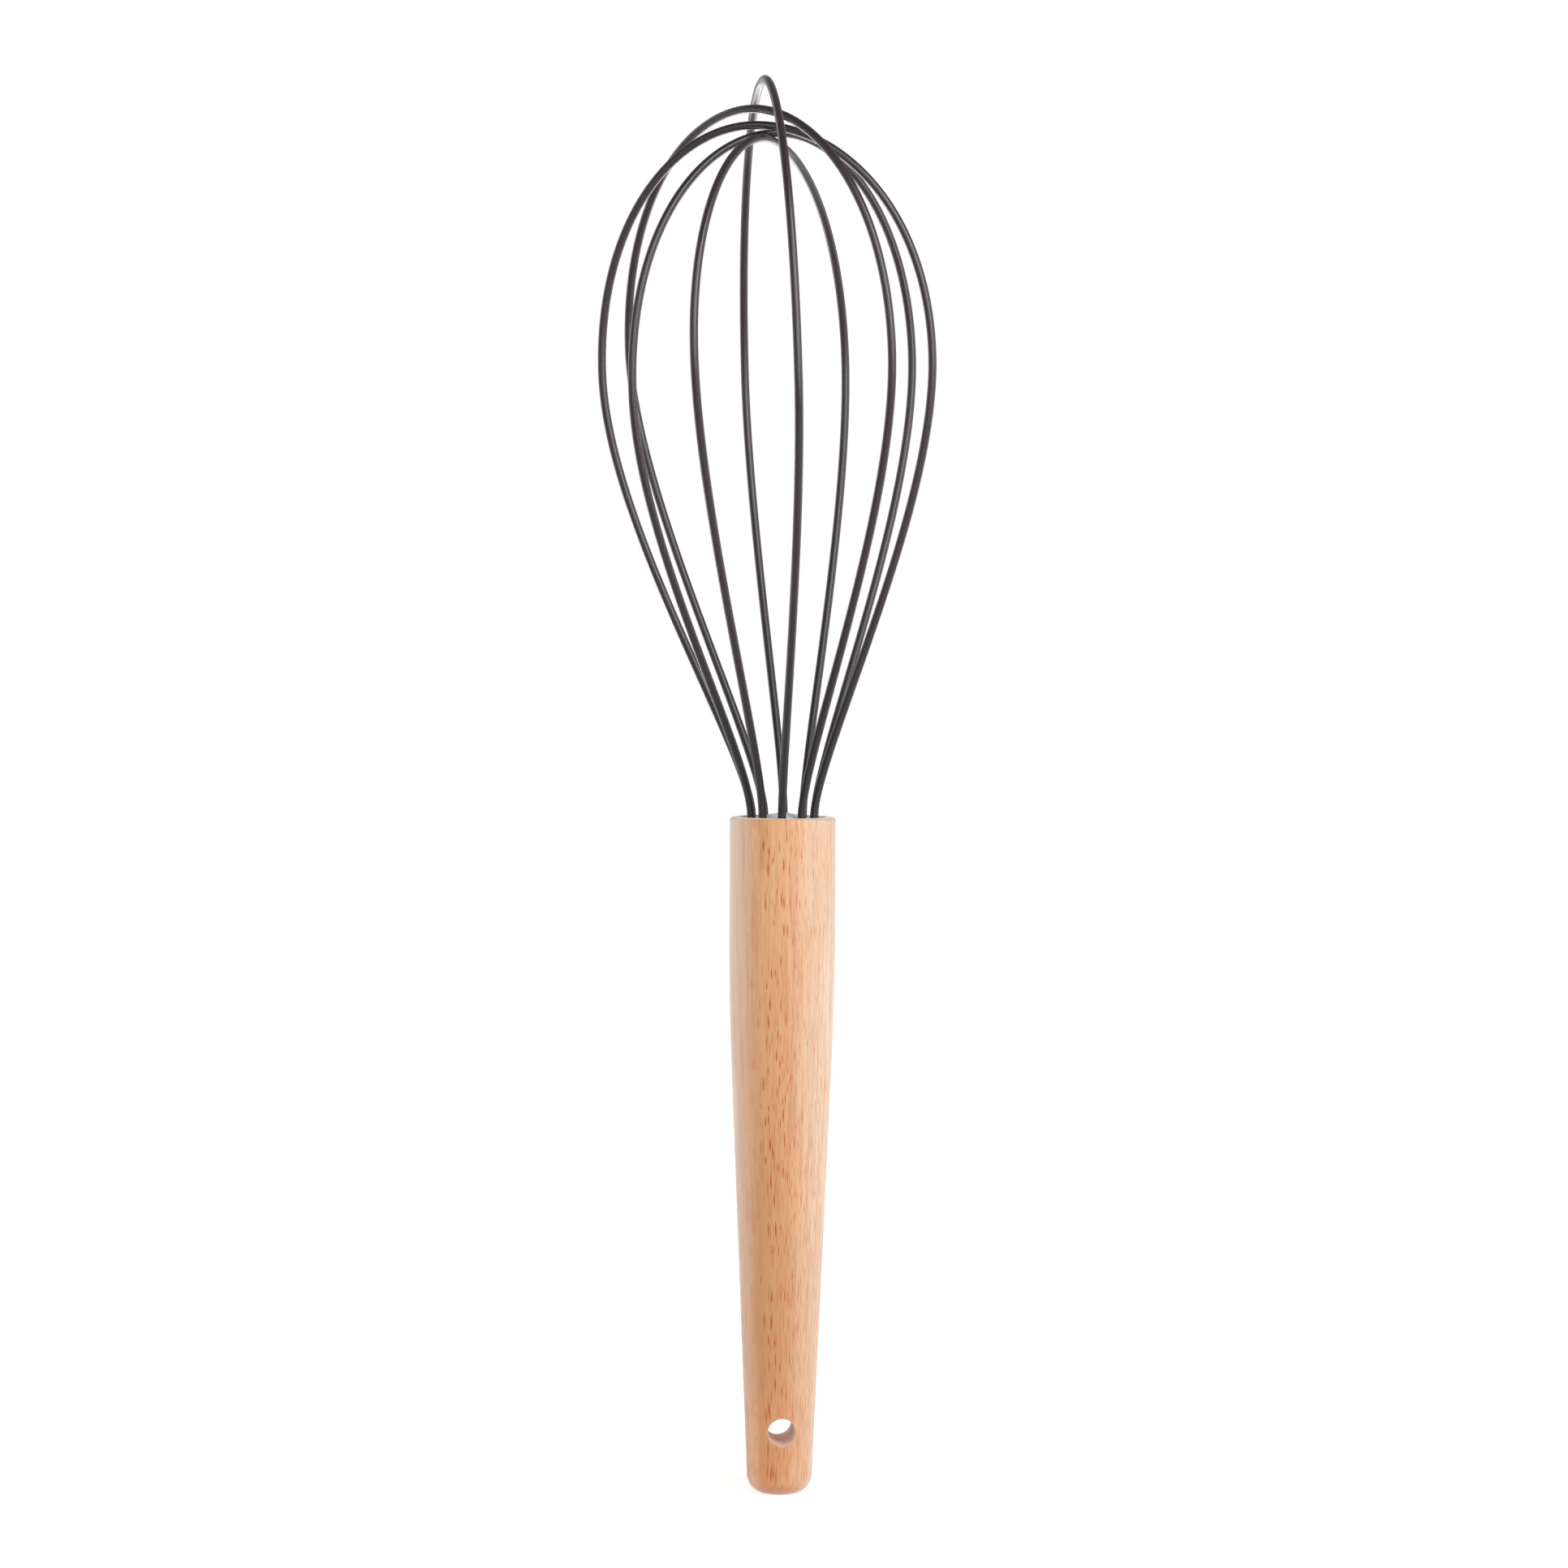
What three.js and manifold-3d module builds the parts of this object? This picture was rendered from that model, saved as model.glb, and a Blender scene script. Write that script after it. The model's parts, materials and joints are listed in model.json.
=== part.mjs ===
// A kitchen whisk: five crossing loops of silicone-covered steel wire in a turned beech handle.
// Millimetres, +Z up along the handle, origin at the centre of the butt. The hanging hole runs along Y.
// Angles are in degrees about Z, from the front (-Y) towards the right (+X).

import * as THREE from 'three';
import { mergeVertices } from 'three/addons/utils/BufferGeometryUtils.js';
import Module from 'manifold-3d';

const wasm = await Module();
wasm.setup();

// Handle
const handleLength = 143.8;
const gripDiameter = 22.5;
const gripLength = 38;
const taperBlend = 15;
const buttDiameter = 13.5;
const buttRounding = 3.9;
const mouthRounding = 0.8;
const holeDiameter = 5.8;
const holeHeight = 13.9;

// Socket in the grip end, the plug that spaces the wires and the potting below it
const mouthWall = 2.2;
const socketDepth = 34;
const spacerThickness = 6;
const spacerRecess = 0.3;
const spacerRim = 0.95;
const domeMargin = 0.9;
const domeRise = 1.2;
const tailLength = 22;

// Covered wire
const coreDiameter = 1;
const sleeveWall = 0.35;

// Clearances
const coreFit = 0.03;
const passageFit = 0.1;
const socketFit = 0.1;
const seatGap = 0.2;
const crossingGap = 0.2;

// Head: how it sits on the handle, and the reach of the curves that every loop shares
const ringTurn = -5.9;
const headLean = 2.15;
const headLeanTowards = -66.5;
const rootReach = 13.2;
const bellyReach = 32.6;
const shoulderFullness = 0.63;
const crownFullness = 0.49;

// Loops from the innermost crown to the outermost. A seat is counted round the ring from the front one.
// A loop's two bellies are twisted from its seats and drift towards the front leg. Their height above the
// mouth is tilted, so the front one is higher by the tilt and the rear one lower. The crown has its own
// height, a lead towards the front leg and a shift out of the loop's plane.
const loops = [
  {
    seat: -1, twist: 10.2, halfWidth: 34.5, drift: -1, belly: 96.8, tilt: 0.1,
    crown: 142.4, lead: 2.1, shift: 1.3,
  },
  {
    seat: -2, twist: 9, halfWidth: 32.7, drift: -0.9, belly: 93.5, tilt: -3.3,
    crown: 144, lead: -4.4, shift: -1.1,
  },
  {
    seat: 2, twist: 10, halfWidth: 35.3, drift: -0.9, belly: 95.5, tilt: 0.4,
    crown: 145.4, lead: -2.4, shift: -1.2,
  },
  {
    seat: 1, twist: 15.4, halfWidth: 36.4, drift: -3.6, belly: 98.6, tilt: -2.7,
    crown: 148.8, lead: -2.3, shift: -2.7,
  },
  {
    seat: 0, twist: 10.8, halfWidth: 35.2, drift: 0, belly: 92.8, tilt: -1.9,
    crown: 154.9, lead: 0, shift: 0.2,
  },
];

// Facets
const turnedSides = 40;
const arcSteps = 4;
const legSteps = 12;
const crownSteps = 16;
const sleeveSides = 8;
const coreSides = 5;
const passageSides = 12;
const crossingSamples = 12;
const crownStep = 0.1;

// Sizes that follow
const gripRadius = gripDiameter / 2;
const coreRadius = coreDiameter / 2;
const sleeveBore = coreRadius + coreFit;
const sleeveRadius = sleeveBore + sleeveWall;
const passageRadius = (sleeveRadius + passageFit) / Math.cos(Math.PI / passageSides);
const tailRadius = (coreRadius + passageFit) / Math.cos(Math.PI / passageSides);
const socketRadius = gripRadius - mouthWall;
const socketFloor = handleLength - socketDepth;
const spacerRadius = socketRadius - socketFit;
const spacerTop = handleLength - spacerRecess;
const spacerBottom = spacerTop - spacerThickness;
const seatRadius = spacerRadius - spacerRim - passageRadius;
const seatStep = 180 / loops.length;
const domeRadius = seatRadius - passageRadius - domeMargin;
const resinTop = spacerBottom - seatGap;
const resinBottom = socketFloor + seatGap;
const tailEnd = spacerBottom - tailLength;
const loopSteps = 2 * (1 + legSteps + crownSteps);

const beech = new THREE.MeshStandardMaterial({ color: '#d2a67c', roughness: 0.55, metalness: 0 });
const silicone = new THREE.MeshStandardMaterial({ color: '#1c1a19', roughness: 0.45, metalness: 0 });
const steel = new THREE.MeshStandardMaterial({ color: '#b9bcc0', roughness: 0.3, metalness: 1 });
const spacerGrey = new THREE.MeshStandardMaterial({ color: '#a3a5a6', roughness: 0.35, metalness: 0 });
const resin = new THREE.MeshStandardMaterial({ color: '#d8cfae', roughness: 0.3, metalness: 0 });

const up = new THREE.Vector3(0, 0, 1);
const mouthCentre = up.clone().multiplyScalar(handleLength);

function direction(angle) {
  const turn = THREE.MathUtils.degToRad(angle);
  return new THREE.Vector3(Math.sin(turn), -Math.cos(turn), 0);
}

// Solid and geometry conversions for the boolean cuts
function solidOf(geometry) {
  const plain = new THREE.BufferGeometry();
  plain.setAttribute('position', geometry.getAttribute('position'));
  plain.setIndex(geometry.index);
  const merged = mergeVertices(plain, 1e-5);
  const corners = merged.index.array;
  const triangles = [];
  for (let i = 0; i < corners.length; i += 3) {
    const [a, b, c] = corners.slice(i, i + 3);
    if (a !== b && b !== c && c !== a) triangles.push(a, b, c);
  }
  const vertProperties = new Float32Array(merged.getAttribute('position').array);
  const triVerts = new Uint32Array(triangles);
  return new wasm.Manifold(new wasm.Mesh({ numProp: 3, vertProperties, triVerts }));
}

function geometryOf(solid) {
  const mesh = solid.getMesh();
  const geometry = new THREE.BufferGeometry();
  geometry.setAttribute('position', new THREE.BufferAttribute(mesh.vertProperties, 3));
  geometry.setIndex(new THREE.BufferAttribute(mesh.triVerts, 1));
  geometry.computeVertexNormals();
  return geometry;
}

// A turned piece stands on Z; its outline runs from the axis at the foot, outwards, and back to the axis
function turned(outline) {
  const points = outline instanceof THREE.Path ? outline.getPoints(arcSteps) : outline;
  return new THREE.LatheGeometry(points, turnedSides).rotateX(Math.PI / 2);
}

// Upright holes at every wire seat
function seatHoles(radius, bottom, top) {
  const holes = [];
  for (let seat = 0; seat < 2 * loops.length; seat += 1) {
    const hole = new THREE.CylinderGeometry(radius, radius, top - bottom, passageSides).rotateX(Math.PI / 2);
    const centre = direction(ringTurn + seat * seatStep).multiplyScalar(seatRadius);
    hole.translate(centre.x, centre.y, (top + bottom) / 2);
    holes.push(solidOf(hole));
  }
  return holes.reduce((joined, hole) => joined.add(hole));
}

// Handle: rounded butt, straight taper, soft blend into the parallel grip, eased mouth and a blind socket
function handleGeometry() {
  const buttRadius = buttDiameter / 2;
  const taperTop = handleLength - gripLength;
  const slope = (gripRadius - buttRadius) / taperTop;
  const lean = Math.atan(slope);
  const arcCentre = buttRadius + slope * buttRounding - buttRounding / Math.cos(lean);
  const blendStart = taperTop - taperBlend;
  const outline = new THREE.Path();
  outline.moveTo(0, 0);
  outline.lineTo(arcCentre, 0);
  outline.absarc(arcCentre, buttRounding, buttRounding, -Math.PI / 2, -lean, false);
  outline.lineTo(buttRadius + slope * blendStart, blendStart);
  outline.quadraticCurveTo(gripRadius, taperTop, gripRadius, taperTop + taperBlend);
  const rimStart = handleLength - mouthRounding;
  outline.lineTo(gripRadius, rimStart);
  outline.absarc(gripRadius - mouthRounding, rimStart, mouthRounding, 0, Math.PI / 2, false);
  outline.lineTo(socketRadius, handleLength);
  outline.lineTo(socketRadius, socketFloor);
  outline.lineTo(0, socketFloor);
  const holeRadius = holeDiameter / 2;
  const hole = new THREE.CylinderGeometry(holeRadius, holeRadius, 2 * gripDiameter, turnedSides);
  hole.translate(0, 0, holeHeight);
  return geometryOf(solidOf(turned(outline)).subtract(solidOf(hole)));
}

// Spacer: a plug just below the rim, with a low dome inside the ring of wire passages
function spacerGeometry() {
  const ballRadius = (domeRadius ** 2 + domeRise ** 2) / (2 * domeRise);
  const ballCentre = spacerTop + domeRise - ballRadius;
  const domeEdge = Math.asin((spacerTop - ballCentre) / ballRadius);
  const outline = new THREE.Path();
  outline.moveTo(0, spacerBottom);
  outline.lineTo(spacerRadius, spacerBottom);
  outline.lineTo(spacerRadius, spacerTop);
  outline.lineTo(domeRadius, spacerTop);
  outline.absarc(0, ballCentre, ballRadius, domeEdge, Math.PI / 2, false);
  const plug = solidOf(turned(outline));
  return geometryOf(plug.subtract(seatHoles(passageRadius, spacerBottom - 1, spacerTop + 1)));
}

// Potting: fills the socket below the spacer, around the bare wire tails
function resinGeometry() {
  const fill = solidOf(turned([
    new THREE.Vector2(0, resinBottom),
    new THREE.Vector2(spacerRadius, resinBottom),
    new THREE.Vector2(spacerRadius, resinTop),
    new THREE.Vector2(0, resinTop),
  ]));
  return geometryOf(fill.subtract(seatHoles(tailRadius, tailEnd - seatGap, resinTop + 1)));
}

// One wire's centreline: up from the tail, out to the belly, over the crown and down the other leg
const leanAxis = direction(headLeanTowards + 90);
const lean = new THREE.Quaternion().setFromAxisAngle(leanAxis, THREE.MathUtils.degToRad(headLean));
const headAxis = up.clone().applyQuaternion(lean);

function inHead(vector, height) {
  return vector.clone().addScaledVector(up, height).applyQuaternion(lean).add(mouthCentre);
}

// Every stretch of a wire has a whole number of steps, so the facets meet where the stretches do
class WirePath extends THREE.Curve {
  constructor(stretches) {
    super();
    this.stretches = stretches;
  }

  getPoint(t) {
    let step = t * loopSteps;
    for (const { curve, steps } of this.stretches) {
      if (step <= steps) return curve.getPoint(step / steps);
      step -= steps;
    }
    return this.stretches.at(-1).curve.getPoint(1);
  }

  getUtoTmapping(u) {
    return u;
  }
}

function wirePath(loop, crownHeight) {
  const seatAngle = ringTurn + loop.seat * seatStep;
  const bellyAngle = seatAngle + loop.twist;
  const front = direction(bellyAngle);
  const overhead = front.clone().multiplyScalar(loop.lead);
  overhead.addScaledVector(direction(bellyAngle + 90), loop.shift);
  const crown = inHead(overhead, crownHeight);
  const legs = [1, -1].map((side) => {
    const seat = direction(seatAngle).multiplyScalar(side * seatRadius).add(mouthCentre);
    const tail = seat.clone().setZ(tailEnd);
    const bellyHeight = loop.belly + side * loop.tilt;
    const reach = side * loop.halfWidth + loop.drift;
    const belly = inHead(front.clone().multiplyScalar(reach), bellyHeight);
    const shoulder = (crownHeight - bellyHeight) * shoulderFullness;
    const span = front.clone().applyQuaternion(lean).multiplyScalar(reach - loop.lead);
    return [
      tail,
      seat,
      seat.clone().addScaledVector(up, rootReach),
      belly.clone().addScaledVector(headAxis, -bellyReach),
      belly,
      belly.clone().addScaledVector(headAxis, shoulder),
      crown.clone().addScaledVector(span, crownFullness),
    ];
  });
  const [near, far] = legs;
  const bezier = (...points) => new THREE.CubicBezierCurve3(...points);
  return new WirePath([
    { curve: new THREE.LineCurve3(near[0], near[1]), steps: 1 },
    { curve: bezier(near[1], near[2], near[3], near[4]), steps: legSteps },
    { curve: bezier(near[4], near[5], near[6], crown), steps: crownSteps },
    { curve: bezier(crown, far[6], far[5], far[4]), steps: crownSteps },
    { curve: bezier(far[4], far[3], far[2], far[1]), steps: legSteps },
    { curve: new THREE.LineCurve3(far[1], far[0]), steps: 1 },
  ]);
}

// Each crown is lifted until its loop clears every loop nested inside it
function samplesAlong(path) {
  const corners = path.getSpacedPoints(loopSteps);
  const samples = [];
  for (let i = 0; i < loopSteps; i += 1) {
    for (let j = 0; j < crossingSamples; j += 1) {
      samples.push(corners[i].clone().lerp(corners[i + 1], j / crossingSamples));
    }
  }
  return samples;
}

function leastGap(samples, others) {
  let least = Infinity;
  for (const point of samples) {
    for (const other of others) least = Math.min(least, point.distanceToSquared(other));
  }
  return Math.sqrt(least) - 2 * sleeveRadius;
}

function nestedPaths() {
  const inside = [];
  return loops.map((loop) => {
    let crownHeight = loop.crown;
    let path = wirePath(loop, crownHeight);
    while (inside.some((samples) => leastGap(samplesAlong(path), samples) < crossingGap)) {
      crownHeight += crownStep;
      path = wirePath(loop, crownHeight);
    }
    inside.push(samplesAlong(path));
    return path;
  });
}

function ring(radius, sides) {
  return Array.from({ length: sides }, (_, i) => {
    const turn = (2 * Math.PI * i) / sides;
    return new THREE.Vector2(radius * Math.cos(turn), radius * Math.sin(turn));
  });
}

function coreGeometry(path) {
  const section = new THREE.Shape(ring(coreRadius, coreSides));
  return new THREE.ExtrudeGeometry(section, { steps: loopSteps, extrudePath: path });
}

// A sleeve is stripped from the tails, level with the underside of the spacer
function sleeveGeometry(path) {
  const section = new THREE.Shape(ring(sleeveRadius, sleeveSides));
  section.holes.push(new THREE.Path(ring(sleeveBore, coreSides)));
  const tube = new THREE.ExtrudeGeometry(section, { steps: loopSteps, extrudePath: path });
  const stripped = new THREE.BoxGeometry(gripDiameter, gripDiameter, handleLength);
  stripped.translate(0, 0, spacerBottom - handleLength / 2);
  return geometryOf(solidOf(tube).subtract(solidOf(stripped)));
}

const whisk = new THREE.Group();

function addPiece(name, geometry, material) {
  const mesh = new THREE.Mesh(geometry, material);
  mesh.name = name;
  whisk.add(mesh);
}

addPiece('handle', handleGeometry(), beech);
addPiece('wire_spacer', spacerGeometry(), spacerGrey);
addPiece('resin_fill', resinGeometry(), resin);
nestedPaths().forEach((path, i) => {
  addPiece(`steel_core_${i + 1}`, coreGeometry(path), steel);
  addPiece(`silicone_sleeve_${i + 1}`, sleeveGeometry(path), silicone);
});

export default whisk;
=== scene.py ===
import json
import math

import bmesh
import bpy
from mathutils import Matrix, Quaternion, Vector, noise


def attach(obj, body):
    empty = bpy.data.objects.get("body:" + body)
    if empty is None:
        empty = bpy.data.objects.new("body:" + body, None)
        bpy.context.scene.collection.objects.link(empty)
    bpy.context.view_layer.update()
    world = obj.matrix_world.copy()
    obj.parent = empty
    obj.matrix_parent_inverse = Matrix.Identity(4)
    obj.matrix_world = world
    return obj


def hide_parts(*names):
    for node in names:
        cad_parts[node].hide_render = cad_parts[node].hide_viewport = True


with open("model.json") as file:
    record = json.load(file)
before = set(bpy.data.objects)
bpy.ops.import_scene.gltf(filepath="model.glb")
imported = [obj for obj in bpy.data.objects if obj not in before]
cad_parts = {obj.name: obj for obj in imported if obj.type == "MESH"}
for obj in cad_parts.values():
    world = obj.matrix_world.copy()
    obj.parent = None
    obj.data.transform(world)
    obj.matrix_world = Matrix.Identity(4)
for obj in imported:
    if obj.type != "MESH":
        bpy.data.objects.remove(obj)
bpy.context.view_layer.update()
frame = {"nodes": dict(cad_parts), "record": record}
mm = 0.001
up = Vector((0, 0, 1))
print("frame:", len(frame["nodes"]), "nodes")


def direction(angle):  # degrees about Z, from the front (-Y) towards the right (+X)
    turn = math.radians(angle)
    return Vector((math.sin(turn), -math.cos(turn), 0))


def addObject(name, data):
    piece = bpy.data.objects.new(name, data)
    bpy.context.scene.collection.objects.link(piece)
    return piece


# Node tools

def tone(red, green, blue):  # screen values 0 to 255, as linear colour
    def linear(value):
        share = value / 255
        return share / 12.92 if share <= 0.04045 else ((share + 0.055) / 1.055) ** 2.4
    return (linear(red), linear(green), linear(blue), 1)


def addNode(tree, kind, settings, sockets):
    item = tree.nodes.new(kind)
    for key, value in (settings or {}).items():
        setattr(item, key, value)
    for key, value in (sockets or {}).items():
        if isinstance(value, bpy.types.NodeSocket):
            tree.links.new(value, item.inputs[key])
        else:
            item.inputs[key].default_value = value
    return item


class Term:
    # A shader socket. Python operators on it add Math nodes.
    def __init__(self, finish, socket):
        self.finish = finish
        self.socket = socket

    def output(self, name):
        return Term(self.finish, self.socket.node.outputs[name])

    def __add__(self, other):
        return self.finish.math("ADD", self, other)

    def __radd__(self, other):
        return self.finish.math("ADD", other, self)

    def __sub__(self, other):
        return self.finish.math("SUBTRACT", self, other)

    def __rsub__(self, other):
        return self.finish.math("SUBTRACT", other, self)

    def __mul__(self, other):
        return self.finish.math("MULTIPLY", self, other)

    def __rmul__(self, other):
        return self.finish.math("MULTIPLY", other, self)

    def __truediv__(self, other):
        return self.finish.math("DIVIDE", self, other)

    def __rtruediv__(self, other):
        return self.finish.math("DIVIDE", other, self)


class Finish:
    # The shader nodes of one material, or of the sky
    def __init__(self, owner):
        owner.use_nodes = True
        self.owner = owner
        self.tree = owner.node_tree
        self.tree.nodes.clear()

    def node(self, kind, settings=None, sockets=None, output=0):
        links = {key: value.socket if isinstance(value, Term) else value
                 for key, value in (sockets or {}).items()}
        item = addNode(self.tree, kind, settings, links)
        return Term(self, item.outputs[output]) if item.outputs else None

    def math(self, operation, first, second=0.0):
        return self.node("ShaderNodeMath", {"operation": operation}, {0: first, 1: second})

    def place(self):
        return self.node("ShaderNodeTexCoord", output="Object")

    def split(self, vector, axis):
        return self.node("ShaderNodeSeparateXYZ", None, {"Vector": vector}, axis)

    def noise(self, vector, cells, shift=(0, 0, 0)):  # size of a cell in millimetres, detail, roughness
        size, detail, rough = cells
        scale = tuple(1 / (side * mm) for side in size)
        stretched = self.node("ShaderNodeMapping", None,
                              {"Vector": vector, "Scale": scale, "Location": shift})
        return self.node("ShaderNodeTexNoise", None,
                         {"Vector": stretched, "Scale": 1.0, "Detail": detail, "Roughness": rough}, "Fac")

    def between(self, value, low, high):  # smooth step from 0 at low to 1 at high
        return self.node("ShaderNodeMapRange", {"interpolation_type": "SMOOTHSTEP"},
                         {"Value": value, "From Min": low, "From Max": high})

    def ramp(self, value, low, high, first, last):  # straight from first at low to last at high
        return self.node("ShaderNodeMapRange", None, {
            "Value": value, "From Min": low, "From Max": high, "To Min": first, "To Max": last})

    def mix(self, share, first, second):
        return self.node("ShaderNodeMix", {"data_type": "RGBA"}, {0: share, 6: first, 7: second}, 2)

    def bump(self, height, distance, strength):
        return self.node("ShaderNodeBump", None,
                         {"Height": height, "Distance": distance, "Strength": strength})

    def surface(self, sockets):
        shader = self.node("ShaderNodeBsdfPrincipled", None, sockets)
        self.node("ShaderNodeOutputMaterial", None, {"Surface": shader})
        return self.owner


# Beech

beech = {
    "tones": {
        "pale": tone(245, 196, 145),
        "warm": tone(233, 172, 115),
        # painted shade: the handle darker towards the butt, where less light reaches
        "low": tone(182, 124, 74),
        # painted light: the right side paler, where the key light falls
        "light": tone(232, 209, 183),
        # painted sheen along the left edge
        "edge": tone(246, 216, 190),
        "pink": tone(234, 170, 124),
        "thread": tone(198, 130, 76),
        "paintedSilkSheen": tone(238, 194, 164),
        "ray": tone(204, 92, 2),
        "rayLowShade": tone(178, 70, 2),
        "graze": tone(208, 128, 74),
        "foot": tone(168, 112, 66),
        # raw drilled wood, made paler as painted light on the hole's wall
        "drilled": tone(240, 212, 194),
        # painted highlight along the top of the rim
        "rim": tone(253, 238, 222),
    },
    "shares": {  # how much of a tone or mark shows where it is strongest
        "low": 0.8,
        "light": 0.55,
        "paintedLightTop": 0.35,  # painted light, more of it towards the mouth
        "edge": 0.8,
        "blush": 0.5,
        "late": 0.1,
        "streaks": 0.5,
        "fibres": 0.25,
        "paintedSilkSheen": 0.3,
        "fine": 0.5,
        "squareOn": 0.5,  # what broad rays lose where they are cut square across
        "grazed": 0.32,
        "turning": 0.14,
        "foot": 0.8,
        "drilled": 0.85,
        "rim": 0.85,
    },
    "cells": {  # size of a cell in millimetres, detail, roughness
        "sway": ((24, 24, 40), 2, 0.5),
        "ragged": ((0.15, 0.15, 0.6), 2, 0.5),
        "streaks": ((0.8, 1.4, 26), 4, 0.65),
        "fibres": ((0.13, 0.2, 2.6), 2, 0.6),
        "bands": ((4.6, 6, 70), 1, 0.5),
        "blush": ((8, 8, 34), 1, 0.5),
        "blots": ((1.8, 1.8, 3.6), 1, 0.5),
        "turning": ((9, 9, 0.3), 2, 0.5),
        "pores": ((0.1, 0.1, 1.5), 2, 0.6),
    },
    "marks": {  # values between which a mark comes in or fades
        "tangent": (0.1, 0.5),
        "ray": (0.45, 1.0),
        "bands": (0.2, 0.8),
        "late": (0.4, 0.97),
        "blush": (0.42, 0.75),
        "streaks": (0.42, 0.72),
        "fibres": (0.45, 0.75),
        "paintedSilkSheen": (0.2, 0.65),
        "squareOn": (0.6, 0.95),
        "blots": (0.48, 0.64),
        "grazed": (0.12, 0.34),
    },
    "zones": {  # soft edge of each zone, in millimetres across or up the handle
        "right": (-2, 8),
        "left": (-11.5, -5),
        "flank": (-8.8, -6.2),
        "spread": (-9, -6),
        "upper": (5, 135),
        "foot": (0.2, 3.6),
        "rim": (143.5, 143.8),
    },
    "turn": -43,  # degrees, turns X across the rays and Y along them
    "taperTop": 105.8 * mm,  # where the handle's taper ends
    "buttShare": 0.6,  # of the grip's width, at the butt
    "sway": 1.4 * mm,
    "axis": 0.1 * mm,  # keeps the division sound on the handle's axis
    "ring": 2.3 * mm,
    "ringBend": 0.6,
    "pith": 70 * mm,
    "blushShift": (3.1, 8.4, 1.7),
    # Room for one ray across and up, share of rooms that hold one, girth as least and what chance adds
    "broadRay": {"room": (0.44 * mm, 6.4 * mm), "share": 0.62, "girth": (0.17, 0.17), "shift": 0},
    "fineRay": {"room": (0.27 * mm, 7.6 * mm), "share": 0.6, "girth": (0.22, 0.16), "shift": 37},
    "rayRoundness": 1.4,  # 1 is a diamond, 2 an ellipse
    "rayFray": 0.09 * mm,
    "rayTips": 0.1,  # how ragged the tips are, as a share of the room
    "rayFade": 0.1,  # rays just inside the share are faint
    "rayDepth": (0.75, 0.4),  # least, and what chance adds
    "raySpread": (0.4, 0.6),  # at no width, and what the full width adds
    "relief": {"pores": 0.6, "streaks": 0.5, "turning": 0.35, "rays": 0.4},
    "reliefDepth": 0.03 * mm,
    "reliefStrength": 0.4,
    "rough": {"plain": 0.42, "streaks": 0.1, "rays": 0.06, "drilled": 0.35},
    "coat": {"butt": 0.2, "upper": 0.5},
}


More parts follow.
